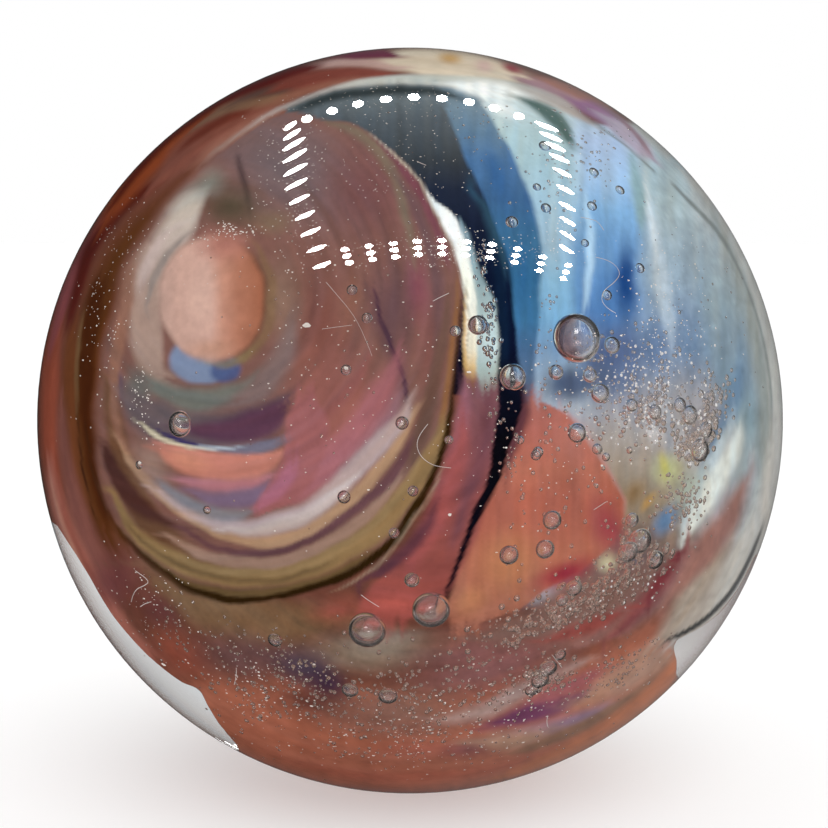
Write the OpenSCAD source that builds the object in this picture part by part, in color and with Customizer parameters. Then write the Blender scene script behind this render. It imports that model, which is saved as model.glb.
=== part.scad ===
// Handmade glass marble: coloured glass twisted into a swirl, clear glass gathered over it into
// a ball, and air bubbles trapped in the clear glass.
// The origin is the centre of the ball, +Z is up and -Y is the front.

/* [Ball] */
// Diameter of the ball
ball_d = 25; // [16:0.5:50]
// Thickness of the clear glass over the swirl
clear_cover = 3.5; // [2.5:0.1:5]

/* [Colour swirl] */
// Depth of each hollow where the swirl falls short and the clear glass is thicker
hollow_depth = 1.3; // [0.5:0.1:2]
// Diameter of the round that each hollow follows
hollow_d = 6; // [4:0.5:10]

/* [Air bubbles] */
// Glass between the outside of the ball and each bubble
bubble_cover = 0.5; // [0.2:0.1:2]
// Diameter of the large bubble
large_bubble_d = 1.5; // [0.5:0.05:2]
// Diameter of the medium bubbles
medium_bubble_d = 1.15; // [0.5:0.05:1.5]
// Diameter of the small bubbles
small_bubble_d = 0.8; // [0.3:0.05:1]
// Diameter of the fine bubbles
fine_bubble_d = 0.6; // [0.2:0.05:0.8]

/* [Hidden] */
$fn = 96;

swirl_d = ball_d - 2 * clear_cover;

// Where the hollows lie, each as [azimuth from the front towards +X, elevation above the equator]
hollow_places = [[-124, -50], [120, -40]];

// The ball in the photograph, in pixels, seen from above its equator by view_rise degrees.
// It fills view_limit degrees to each side of the view, and light bends as it leaves the glass.
photo_middle = [410, 420.5];
photo_r = 373;
view_rise = 10;
view_limit = 6.85;
glass_ior = 1.5;

// The pixels at which the bubbles show there
large_px = [[577, 338]];
medium_px = [[431, 610], [367, 630]];
small_px = [[180, 424], [513, 377], [640, 541]];
fine_px = [[509, 555], [552, 520], [545, 549], [600, 393], [577, 433], [540, 680], [478, 325]];

// Unit vector from the centre of the ball towards a place
function towards(place) = [
    sin(place[0]) * cos(place[1]),
    -cos(place[0]) * cos(place[1]),
    sin(place[1])
];

// Angle between the view and a point, from how far out it shows and how deep it lies in the glass
function view_bearing(seen, depth) =
    let (slant = atan(seen * tan(view_limit)))
    let (entry = sin(slant) / sin(view_limit))
    asin(entry) - slant + asin(entry / glass_ior / depth) - asin(entry / glass_ior);

// Unit vector towards the point at that depth that shows at a pixel
function towards_px(px, depth) =
    let (right = (px[0] - photo_middle[0]) / photo_r, up = (photo_middle[1] - px[1]) / photo_r)
    let (seen = norm([right, up]))
    let (bearing = view_bearing(seen, depth), side = sin(bearing) / seen)
    [
        side * right,
        side * up * sin(view_rise) - cos(bearing) * cos(view_rise),
        side * up * cos(view_rise) + cos(bearing) * sin(view_rise)
    ];

// Distance from the centre of the ball to the centre of a bubble under its cover
function bubble_reach(bubble_d) = ball_d / 2 - bubble_cover - bubble_d / 2;

// Distance from the centre of the ball to the centre of the round that shapes a hollow
function hollow_reach() = swirl_d / 2 - hollow_depth + hollow_d / 2;

module bubbles_of(pixels, bubble_d) {
    reach = bubble_reach(bubble_d);
    for (px = pixels)
        translate(reach * towards_px(px, 2 * reach / ball_d))
            sphere(d = bubble_d);
}

module bubbles() {
    bubbles_of(large_px, large_bubble_d);
    bubbles_of(medium_px, medium_bubble_d);
    bubbles_of(small_px, small_bubble_d);
    bubbles_of(fine_px, fine_bubble_d);
}

// Outer form of the swirl, which the clear glass fits all round
module swirl_form() {
    difference() {
        sphere(d = swirl_d);
        for (place = hollow_places)
            translate(hollow_reach() * towards(place))
                sphere(d = hollow_d);
    }
}

module marble() {
    color("#dfe4e2", 0.4)
        difference() {
            sphere(d = ball_d);
            swirl_form();
            bubbles();
        }
}

module colour_swirl() {
    color("#96605a")
        difference() {
            swirl_form();
            bubbles();
        }
}

marble();
colour_swirl();
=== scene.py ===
import math
import random

import bpy
import numpy as np
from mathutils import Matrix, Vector, noise


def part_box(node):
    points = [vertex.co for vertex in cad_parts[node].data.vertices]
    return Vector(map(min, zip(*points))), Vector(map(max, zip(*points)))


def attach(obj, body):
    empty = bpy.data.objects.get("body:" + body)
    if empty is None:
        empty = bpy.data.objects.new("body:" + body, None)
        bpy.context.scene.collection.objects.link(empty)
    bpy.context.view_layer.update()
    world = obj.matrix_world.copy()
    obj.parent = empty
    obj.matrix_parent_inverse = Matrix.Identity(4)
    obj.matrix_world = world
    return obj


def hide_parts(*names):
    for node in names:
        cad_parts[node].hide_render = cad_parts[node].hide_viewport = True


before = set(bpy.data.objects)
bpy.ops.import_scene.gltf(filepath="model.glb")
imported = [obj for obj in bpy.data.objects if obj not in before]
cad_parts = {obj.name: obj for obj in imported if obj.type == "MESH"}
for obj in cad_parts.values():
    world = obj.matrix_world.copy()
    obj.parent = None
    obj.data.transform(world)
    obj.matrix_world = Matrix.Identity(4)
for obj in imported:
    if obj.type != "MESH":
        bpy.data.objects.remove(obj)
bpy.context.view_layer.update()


# Clear glass
# The outer ball of the marble: gathered clear glass, turned round while hot and fire polished.
# Air that was trapped while gathering stays in it as round bubbles and fine seeds.
ball_low, ball_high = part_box("marble")
ball_r = min(ball_high[i] - ball_low[i] for i in range(3)) / 2
glass_ior = 1.5

# The photograph is 828 pixels wide and shows the ball from 10 degrees above its equator.
# A place in it is followed along its ray into the glass, so that what shows there is put there.
picture_px = 828
ball_px = (410, 420.5)
ball_r_px = 373
pixel = ball_r / ball_r_px
view_rise = math.radians(10)
lens_mm = 135
sensor_mm = 36
view_limit = math.atan(ball_r_px / picture_px * sensor_mm / lens_mm)
view_reach = 1 / math.sin(view_limit)
to_viewer = np.array([0.0, -math.cos(view_rise), math.sin(view_rise)])
to_right = np.array([1.0, 0.0, 0.0])
to_top = np.array([0.0, math.sin(view_rise), math.cos(view_rise)])
outermost_seen = 0.995


def bearing_in_glass(seen, depth):
    """Angle from the view axis of a point at that depth, for its distance from the picture's centre.

    seen is 1 at the ball's outline, and depth is 1 at the ball's surface."""
    slant = np.arctan(seen * math.tan(view_limit))
    entry = np.minimum(view_reach * np.sin(slant), 1.0)
    bend = np.arcsin(np.minimum(entry / (glass_ior * depth), 1.0)) - np.arcsin(entry / glass_ior)
    return np.arcsin(entry) - slant + bend


def point_seen_at(px, py, depth):
    """The point in the glass that shows at a pixel of the photograph."""
    across = (px - ball_px[0]) / ball_r_px
    up = (ball_px[1] - py) / ball_r_px
    seen = min(math.hypot(across, up), outermost_seen)
    turn = math.atan2(up, across)
    bearing = bearing_in_glass(seen, depth)
    sideways = math.cos(turn) * to_right + math.sin(turn) * to_top
    return Vector(ball_r * depth * (math.cos(bearing) * to_viewer + math.sin(bearing) * sideways))


def start_clean():
    """Leaves nothing selected, so that an operator acts on the new piece alone."""
    if bpy.context.object and bpy.context.object.mode != "OBJECT":
        bpy.ops.object.mode_set(mode="OBJECT")
    bpy.ops.object.select_all(action="DESELECT")


def settle(piece):
    """Puts the piece's place into its mesh."""
    start_clean()
    piece.select_set(True)
    bpy.context.view_layer.objects.active = piece
    bpy.ops.object.transform_apply(location=True, rotation=True, scale=True)
    return piece


def join(pieces, name):
    """Makes one piece of several, under a new name."""
    start_clean()
    for piece in pieces:
        piece.select_set(True)
    bpy.context.view_layer.objects.active = pieces[0]
    bpy.ops.object.join()
    joined = bpy.context.object
    joined.name = name
    joined.data.name = name
    return joined


start_clean()
ball_rounds = 6
bpy.ops.mesh.primitive_ico_sphere_add(subdivisions=ball_rounds, radius=ball_r)
clear_glass = bpy.context.object

# The large bubbles are those of the solid: each loose inner shell gives a place and a size.
weld_gap = ball_r * 1e-5
start_clean()
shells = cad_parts["marble"].copy()
shells.data = shells.data.copy()
shells.parent = None
bpy.context.scene.collection.objects.link(shells)
shells.select_set(True)
bpy.context.view_layer.objects.active = shells
bpy.ops.object.mode_set(mode="EDIT")
bpy.ops.mesh.select_all(action="SELECT")
bpy.ops.mesh.remove_doubles(threshold=weld_gap)
bpy.ops.mesh.separate(type="LOOSE")
bpy.ops.object.mode_set(mode="OBJECT")
bubble_places = []
for shell in list(bpy.context.selected_objects):
    corners = np.array([v.co for v in shell.data.vertices])
    low, high = corners.min(0), corners.max(0)
    if high[2] - low[2] < ball_r:
        bubble_places.append((Vector((low + high) / 2), (high[2] - low[2]) / 2))
    bpy.data.objects.remove(shell)

# Smaller round bubbles of the photograph: pixel, and radius in pixels.
small_bubbles_px = [
    (344, 497, 6), (402, 423, 6), (352, 290, 5), (367, 318, 5), (346, 370, 5), (412, 580, 7), (275, 640, 7),
    (388, 696, 9), (350, 690, 8), (612, 345, 8), (590, 375, 7), (632, 405, 6), (536, 455, 5), (597, 449, 5),
    (606, 457, 4), (520, 440, 4), (556, 372, 7), (655, 412, 7), (592, 206, 5), (546, 208, 5), (545, 146, 6),
    (537, 187, 4), (512, 222, 6), (620, 190, 5), (585, 243, 4), (538, 452, 5), (640, 268, 5), (562, 600, 6),
    (574, 588, 8), (700, 450, 11), (690, 415, 9), (706, 430, 8), (680, 405, 7), (632, 520, 7), (655, 560, 9),
    (628, 552, 10), (548, 668, 9), (532, 690, 7), (560, 655, 6), (455, 331, 5), (449, 440, 4), (413, 491, 5),
    (394, 533, 5), (139, 465, 4), (207, 510, 4), (594, 172, 5), (607, 295, 5),
]
small_bubble_depth = 0.93
for spot_x, spot_y, spot_r in small_bubbles_px:
    bubble_places.append((point_seen_at(spot_x, spot_y, small_bubble_depth), spot_r * pixel))

# Each bubble is a round shell, with more faces on the larger ones.
large_from_px = 8
large_rounds, small_rounds = 4, 3
bubbles = []
for place, bubble_r in bubble_places:
    start_clean()
    rounds = large_rounds if bubble_r > large_from_px * pixel else small_rounds
    bpy.ops.mesh.primitive_ico_sphere_add(subdivisions=rounds, radius=bubble_r, location=place)
    bubbles.append(settle(bpy.context.object))

# Seeds: clouds of tiny bubbles, each as pixel, half sizes, tilt, count and range of radii in pixels.
seed_clouds_px = [
    ((640, 396), (92, 42), 8, 230, (0.8, 2.6)),
    ((704, 428), (16, 42), -25, 170, (1.6, 4.0)),
    ((690, 446), (14, 14), 0, 50, (1.6, 3.6)),
    ((652, 412), (20, 30), 0, 110, (1.2, 3.6)),
    ((610, 350), (70, 34), 0, 90, (0.7, 2.4)),
    ((560, 170), (42, 62), -10, 80, (0.7, 2.0)),
    ((602, 150), (34, 36), -20, 60, (0.7, 2.0)),
    ((548, 320), (14, 70), 0, 24, (0.8, 1.8)),
    ((580, 490), (60, 76), -10, 70, (0.9, 2.4)),
    ((505, 440), (12, 90), 12, 60, (0.9, 2.4)),
    ((556, 614), (96, 22), 20, 330, (1.0, 3.4)),
    ((600, 592), (46, 20), 30, 120, (1.0, 3.6)),
    ((638, 556), (30, 26), 0, 130, (1.2, 3.8)),
    ((684, 500), (26, 26), -30, 110, (1.0, 2.6)),
    ((440, 690), (130, 34), 6, 300, (0.9, 2.6)),
    ((545, 678), (26, 18), 24, 80, (1.2, 3.6)),
    ((290, 690), (86, 38), -4, 240, (0.8, 2.6)),
    ((240, 650), (90, 26), -8, 110, (0.7, 2.2)),
    ((420, 740), (130, 26), 0, 160, (0.7, 2.2)),
    ((165, 625), (36, 34), 30, 70, (0.7, 2.0)),
    ((622, 668), (50, 18), 32, 120, (0.7, 2.2)),
    ((300, 360), (130, 160), 0, 70, (0.6, 1.5)),
    ((470, 130), (80, 30), -12, 50, (0.6, 1.5)),
    ((690, 300), (60, 90), 0, 60, (0.6, 1.5)),
]
# Pits: seeds in the pale strip beside the eye, which show dark.
pit_clouds_px = [
    ((489, 322), (8, 52), 2, 90, (1.0, 3.0)),
    ((480, 264), (5, 20), -14, 12, (1.0, 2.4)),
]
# Froth: the whitest seeds, on the right.
froth_clouds_px = [
    ((648, 378), (72, 34), 4, 170, (0.6, 1.7)),
    ((656, 424), (30, 26), 0, 90, (0.7, 2.0)),
    ((702, 428), (16, 38), -25, 60, (0.7, 2.0)),
    ((600, 600), (60, 20), 24, 60, (0.6, 1.6)),
]
seed_depths = (0.80, 0.965)
draw = random.Random(7)


def take_shape():
    """The points and faces of the primitive that was just made, which goes."""
    shape = bpy.context.object
    points = np.array([v.co for v in shape.data.vertices])
    faces = [tuple(face.vertices) for face in shape.data.polygons]
    bpy.data.objects.remove(shape)
    return points, faces


def piece_of(name, vertices, polygons):
    """A piece with these corners and faces."""
    mesh = bpy.data.meshes.new(name)
    mesh.from_pydata([tuple(v) for v in vertices], [], polygons)
    piece = bpy.data.objects.new(name, mesh)
    bpy.context.scene.collection.objects.link(piece)
    return piece


start_clean()
bpy.ops.mesh.primitive_uv_sphere_add(segments=6, ring_count=4, radius=1.0)
seed_points, seed_faces = take_shape()


def scatter(cloud, spread=0.55, most=1.6):
    """Pixels drawn at random from an oval cloud, thick in the middle."""
    (centre_x, centre_y), (half_x, half_y), tilt, count, sizes = cloud
    turn_x, turn_y = math.cos(math.radians(tilt)), math.sin(math.radians(tilt))
    for _ in range(count):
        along = max(-most, min(most, draw.gauss(0, spread))) * half_x
        across = max(-most, min(most, draw.gauss(0, spread))) * half_y
        px = centre_x + along * turn_x + across * turn_y
        py = centre_y - along * turn_y + across * turn_x
        yield px, py, pixel * (sizes[0] + (sizes[1] - sizes[0]) * draw.random() ** 2)


def sow(clouds, name):
    """Tiny bubbles all through the clouds, as one piece."""
    vertices = []
    polygons = []
    for cloud in clouds:
        for px, py, seed_r in scatter(cloud):
            spot = point_seen_at(px, py, draw.uniform(*seed_depths))
            first = len(vertices)
            vertices.extend(seed_points * seed_r + np.array(spot))
            polygons.extend(tuple(first + corner for corner in face) for face in seed_faces)
    return piece_of(name, vertices, polygons)


seeds = sow(seed_clouds_px, "seeds")
pits = sow(pit_clouds_px, "pits")
froth = sow(froth_clouds_px, "froth")
sizes = [bubble_r for place, bubble_r in bubble_places]
largest = sizes.index(max(sizes))
large_place, large_r = bubble_places[largest]
large_bubble = bubbles.pop(largest)
bubble_walls = join(bubbles, "bubble_walls")
walls = {
    "bubble_wall": bubble_walls, "seed_wall": seeds, "pit_wall": pits, "froth_wall": froth,
    "painted_refraction_wall": large_bubble,
}
for kind, part in [("clear_glass", clear_glass), *walls.items()]:
    part.data.materials.clear()
    part.data.materials.append(bpy.data.materials.new(kind))
air = join(list(walls.values()), "air")
bpy.ops.object.mode_set(mode="EDIT")
bpy.ops.mesh.select_all(action="SELECT")
bpy.ops.mesh.normals_make_consistent(inside=True)
bpy.ops.object.mode_set(mode="OBJECT")
clear_glass = join([clear_glass, air], "clear_glass")
bpy.ops.object.shade_smooth()

# The walls of the bubbles bend light less than the outside, so that their dark rings stay thin.
# Most are a little cloudy, and those of the froth are more so. Each kind of wall says how far it
# bends light, how clear it is, and the darker and paler tint of its glass.
clear_tints = (0.975, 0.985, 0.98), (1.0, 1.0, 1.0)
cloudy_tints = (0.84, 0.80, 0.78), (0.97, 0.95, 0.94)
seed_tints = (0.64, 0.50, 0.42), (0.94, 0.85, 0.79)
# The large bubble's wall carries a painted refraction: brown on its left, clear on its right.
painted_refraction_tints = (0.60, 0.34, 0.30), (1.0, 1.0, 1.0)
glass_kinds = {
    "clear_glass": (glass_ior, 1.0, clear_tints), "bubble_wall": (1.23, 0.965, cloudy_tints),
    "seed_wall": (1.27, 0.91, seed_tints), "pit_wall": (1.42, 1.0, clear_tints),
    "froth_wall": (1.27, 0.55, cloudy_tints), "painted_refraction_wall": (1.23, 0.94, painted_refraction_tints),
}
refraction_tint_from, refraction_tint_to = 0.4, 0.7
for glass in clear_glass.data.materials:
    kind = glass.name.split(".")[0]
    ior, clearness, tints = glass_kinds[kind]
    glass.use_nodes = True
    glass_nodes, glass_links = glass.node_tree.nodes, glass.node_tree.links
    glass_shader = glass_nodes["Principled BSDF"]
    place = glass_nodes.new("ShaderNodeTexCoord")
    cords = glass_nodes.new("ShaderNodeTexNoise")
    cords.inputs["Scale"].default_value = 1.5 / ball_r
    tint = glass_nodes.new("ShaderNodeValToRGB")
    for stop, colour in zip(tint.color_ramp.elements, tints):
        stop.color = (*colour, 1.0)
    glass_links.new(place.outputs["Object"], cords.inputs["Vector"])
    glass_links.new(cords.outputs["Fac"], tint.inputs["Fac"])
    glass_links.new(tint.outputs["Color"], glass_shader.inputs["Base Color"])
    glass_shader.inputs["Roughness"].default_value = 0.0
    glass_shader.inputs["IOR"].default_value = ior
    glass_shader.inputs["Transmission Weight"].default_value = clearness
    if clearness < 1:
        glass_shader.inputs["Coat Weight"].default_value = 1.0
        glass_shader.inputs["Coat Roughness"].default_value = 0.04
    if kind == "painted_refraction_wall":
        # The large bubble's wall is tinted brown on its left, a painted refraction of the brown glass that
        # the bubble shows there.
        parts = glass_nodes.new("ShaderNodeSeparateXYZ")
        refraction_tint_way = glass_nodes.new("ShaderNodeMapRange")
        refraction_tint_way.inputs["From Min"].default_value = large_place.x - large_r
        refraction_tint_way.inputs["From Max"].default_value = large_place.x + large_r
        glass_links.new(place.outputs["Object"], parts.inputs[0])
        glass_links.new(parts.outputs["X"], refraction_tint_way.inputs["Value"])
        glass_links.new(refraction_tint_way.outputs["Result"], tint.inputs["Fac"])
        tint.color_ramp.elements[0].position = refraction_tint_from
        tint.color_ramp.elements[1].position = refraction_tint_to
clear_glass.visible_shadow = False
clear_glass.visible_diffuse = False
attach(clear_glass, "root")
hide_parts("marble")


# Colour swirl
# The coloured glass inside: rods of many colours melted together and twisted into an eye.
# The clear glass is gathered over it, and shows clear where the swirl falls short of the outline.
swirl_low, swirl_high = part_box("colour_swirl")
swirl_depth = (swirl_high.z - swirl_low.z) / 2 / ball_r
# How far out the swirl shows, as bearing in the picture and share of the ball's radius.
no_cut = 1.1
swirl_outline = [
    (193, no_cut), (195.5, 0.993), (198, 0.980), (202, 0.964), (206, 0.955), (213.4, 0.953), (221.7, 0.944),
    (226, 0.936), (229, 0.930), (232, 0.912), (234, 0.931), (237.4, 0.957), (241, 0.979), (243, 0.993),
    (247, no_cut), (313, no_cut), (315.6, 0.994), (318, 0.962), (319.6, 0.921), (321.3, 0.931),
    (324.3, 0.954), (328, 0.976), (333, 0.988), (339, 0.992), (346, no_cut),
]
start_clean()
swirl_rounds = 7
bpy.ops.mesh.primitive_ico_sphere_add(subdivisions=swirl_rounds, radius=1.0)
colour_swirl = bpy.context.object
colour_swirl.name = "colour_swirl"
colour_swirl.data.name = "colour_swirl"

# The side that shows the eye is divided once more, to carry the fine lines of its colours.
fine_side = math.cos(math.radians(68))
bpy.ops.object.mode_set(mode="EDIT")
bpy.ops.mesh.select_all(action="DESELECT")
bpy.ops.object.mode_set(mode="OBJECT")
for face in colour_swirl.data.polygons:
    face.select = face.center.normalized().dot(Vector(to_viewer)) > fine_side
bpy.ops.object.mode_set(mode="EDIT")
bpy.ops.mesh.subdivide(number_cuts=1)
bpy.ops.mesh.select_all(action="SELECT")
bpy.ops.mesh.quads_convert_to_tris()
bpy.ops.object.mode_set(mode="OBJECT")
ways = np.array([v.co for v in colour_swirl.data.vertices])
ways /= np.linalg.norm(ways, axis=1)[:, None]
bearing = np.arccos(np.clip(ways @ to_viewer, -1, 1))
turn = np.arctan2(ways @ to_top, ways @ to_right)

# Where the swirl falls short, a cut takes away what the rays from that line to the outline would meet.
ray_count = 9
last_ray = 0.9999
least_lean = 0.2
well_outside = 2.0
outline = np.interp(np.degrees(turn) % 360, *zip(*swirl_outline), left=no_cut, right=no_cut)
cut = np.full(len(ways), well_outside)
for share in np.linspace(0, 1, ray_count):
    shown = np.minimum(outline + share * np.maximum(1 - outline, 0), last_ray)
    slant = np.arctan(shown * math.tan(view_limit))
    entry = np.sin(slant) * view_reach
    foot = np.arcsin(entry) - slant + math.pi / 2 - np.arcsin(entry / glass_ior)
    cut = np.minimum(cut, entry / glass_ior / np.maximum(np.cos(bearing - foot), least_lean))
cut = cut * np.maximum(outline, 1.0)
depth = np.full(len(ways), swirl_depth)
cut_softness = 0.012
kept = np.clip(0.5 + 0.5 * (cut - depth) / cut_softness, 0, 1)
depth = cut * (1 - kept) + depth * kept - cut_softness * kept * (1 - kept)
colour_swirl.data.vertices.foreach_set("co", (ways * depth[:, None] * ball_r).astype(np.float32).ravel())
colour_swirl.data.update()
settle(colour_swirl)
bpy.ops.object.shade_smooth()

# Where each point of the swirl shows in the photograph: halving finds the ray that meets it.
halvings = 40
least = np.zeros(len(ways))
most = np.tan(np.arcsin(np.minimum(glass_ior * depth, 1.0) / view_reach)) / math.tan(view_limit)
for _ in range(halvings):
    middle = (least + most) / 2
    short = bearing_in_glass(middle, depth) < bearing
    least = np.where(short, middle, least)
    most = np.where(short, most, middle)
seen = (least + most) / 2


def ease(value, low, high):
    """Goes smoothly from 0, at low, to 1, at high."""
    share = np.clip((value - low) / (high - low), 0, 1)
    return share * share * (3 - 2 * share)


# Past the outline its colours run on round the back, where they fade.
behind = np.maximum(bearing - bearing_in_glass(1.0, swirl_depth), 0.0)


def grain(a, b, c, octaves=4):
    """Smooth noise at each point, from about -1 to 1."""
    roughness, finer = 0.9, 2.0
    spots = zip(*np.broadcast_arrays(a, b, c))
    return np.array([noise.fractal(spot, roughness, finer, octaves) for spot in spots])


# Each point's pixel, which wanders a little so that no edge is ruled, but hardly near the outline.
x = ball_px[0] + ball_r_px * seen * np.cos(turn)
y = ball_px[1] - ball_r_px * seen * np.sin(turn)
wander_px = 2.2
wander_scale_px = 34
calm_share, calm_from, calm_to = 0.9, 0.86, 0.96
wander_x = grain(x / wander_scale_px, y / wander_scale_px, 3.5)
wander_y = grain(x / wander_scale_px, y / wander_scale_px, 8.5)
wander = wander_px * (1 - calm_share * ease(seen, calm_from, calm_to))
x, y = x + wander * wander_x, y + wander * wander_y


def glass_colour(code):
    """The linear colour of a glass that is written as six hex digits."""
    parts = np.array([int(code[i:i + 2], 16) / 255 for i in (0, 2, 4)])
    return np.where(parts <= 0.04045, parts / 12.92, ((parts + 0.055) / 1.055) ** 2.4)


def curve(value, points):
    """A smooth curve through given points, level past both its ends."""
    spots, levels = (np.array(row, float) for row in zip(*sorted(points)))
    rises = np.diff(levels) / np.diff(spots)
    before, after = rises[:-1], rises[1:]
    level_off = before * after <= 0
    between = np.where(level_off, 0, 2 * before * after / np.where(level_off, 1, before + after))
    slopes = np.concatenate([rises[:1], between, rises[-1:]])
    first = np.clip(np.searchsorted(spots, value) - 1, 0, len(spots) - 2)
    gap = spots[first + 1] - spots[first]
    t = np.clip((value - spots[first]) / gap, 0, 1)
    start = levels[first] * (1 + 2 * t) + slopes[first] * gap * t
    end = levels[first + 1] * (3 - 2 * t) + slopes[first + 1] * gap * (t - 1)
    return start * (1 - t) ** 2 + end * t ** 2


def around(px, py, centre, seam):
    """Bearing in degrees from a seam, and distance, around a place in the picture."""
    across, up = px - centre[0], centre[1] - py
    return (np.degrees(np.arctan2(up, across)) - seam) % 360, np.hypot(across, up)


eye_px, eye_seam = (213, 292), 75
rim_seam = 45
eye_turn, eye_reach = around(x, y, eye_px, eye_seam)
rim_turn, rim_reach = around(x, y, ball_px, rim_seam)


def shade(stops, along):
    """A colour that changes along the picture: each stop is a pixel and a glass."""
    colours = np.array([glass_colour(glass) for spot, glass in stops])
    return np.stack([np.interp(along, [spot for spot, glass in stops], part) for part in colours.T], 1)


# Fine fibres of glass run along each flow, and fray the ends of the strokes.
eye_way = np.radians(eye_turn)
rim_way = np.radians(rim_turn)
fibre_px = 5
flow_px = 130


def fibres_round(way, reach, swing):
    """Fibres that run round a place in the picture."""
    return grain(swing * np.cos(way), swing * np.sin(way), reach / fibre_px, 3)


flows = {
    "eye": (eye_turn, eye_reach, fibres_round(eye_way, eye_reach, 1.5)),
    "rim": (rim_turn, rim_reach, fibres_round(rim_way, rim_reach, 2.4)),
    "down": (y, x, grain(x / fibre_px, y / flow_px, 0.0, 3)),
    "across": (x, y, grain(x / flow_px, y / fibre_px, 6.5, 3)),
}
tip_px = 12
fray_share = 0.8


def band_mask(path, fade, places):
    """A band along places of x, y and half width in pixels, which frays out past both its ends."""
    along, across, fibre = flows[path]
    spots = np.array(places, float)
    tip = tip_px + fade
    if path == "down":
        line = spots[:, 1], spots[:, 0]
    elif path == "across":
        line = spots[:, 0], spots[:, 1]
    else:
        centre, seam = (eye_px, eye_seam) if path == "eye" else (ball_px, rim_seam)
        line = around(spots[:, 0], spots[:, 1], centre, seam)
        tip = math.degrees(tip / line[1].mean())
    frayed = along + fray_share * tip * fibre
    off = np.abs(across - curve(along, zip(*line)))
    half = curve(along, zip(line[0], spots[:, 2]))
    first, last = line[0].min(), line[0].max()
    ends = ease(frayed, first - tip, first + tip / 3) * (1 - ease(frayed, last - tip / 3, last + tip))
    return ease(half - off, -fade / 2, fade / 2) * ends


def oval_mask(fade, places):
    """An oval from its centre, half sizes and tilt; fade is the share of its radius that fades."""
    (centre_x, centre_y), (half_x, half_y), tilt = places
    across, up = x - centre_x, centre_y - y
    c, s = math.cos(math.radians(tilt)), math.sin(math.radians(tilt))
    reach = np.hypot((across * c + up * s) / half_x, (up * c - across * s) / half_y)
    return 1 - ease(reach, 1 - fade, 1)


def past_mask(fade, places):
    """Everything to the right of a line of x and y."""
    return ease(x - curve(y, [(py, px) for px, py in places]), -fade / 2, fade / 2)


def below_mask(fade, places):
    """Everything under a line of x and y."""
    return ease(y - curve(x, places), -fade / 2, fade / 2)


def blend(under, over, mask):
    """Puts one field of colour over another, where the mask is 1."""
    return under + (over - under) * np.asarray(mask)[:, None]


def lay(under, strokes):
    """Lays strokes of glass over each other: name, path, glass, fade, places and, if thin, strength."""
    for name, path, glass, fade, places, *strength in strokes:
        if path == "oval":
            mask = oval_mask(fade, places)
        elif path == "past":
            mask = past_mask(fade, places)
        else:
            mask = band_mask(path, fade, places)
        if strength:
            mask = mask * strength[0]
        if isinstance(glass, str):
            colour = glass_colour(glass)
        else:
            colour = shade(glass, x if path == "across" else y)
        under = blend(under, colour, mask)
    return under


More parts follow.
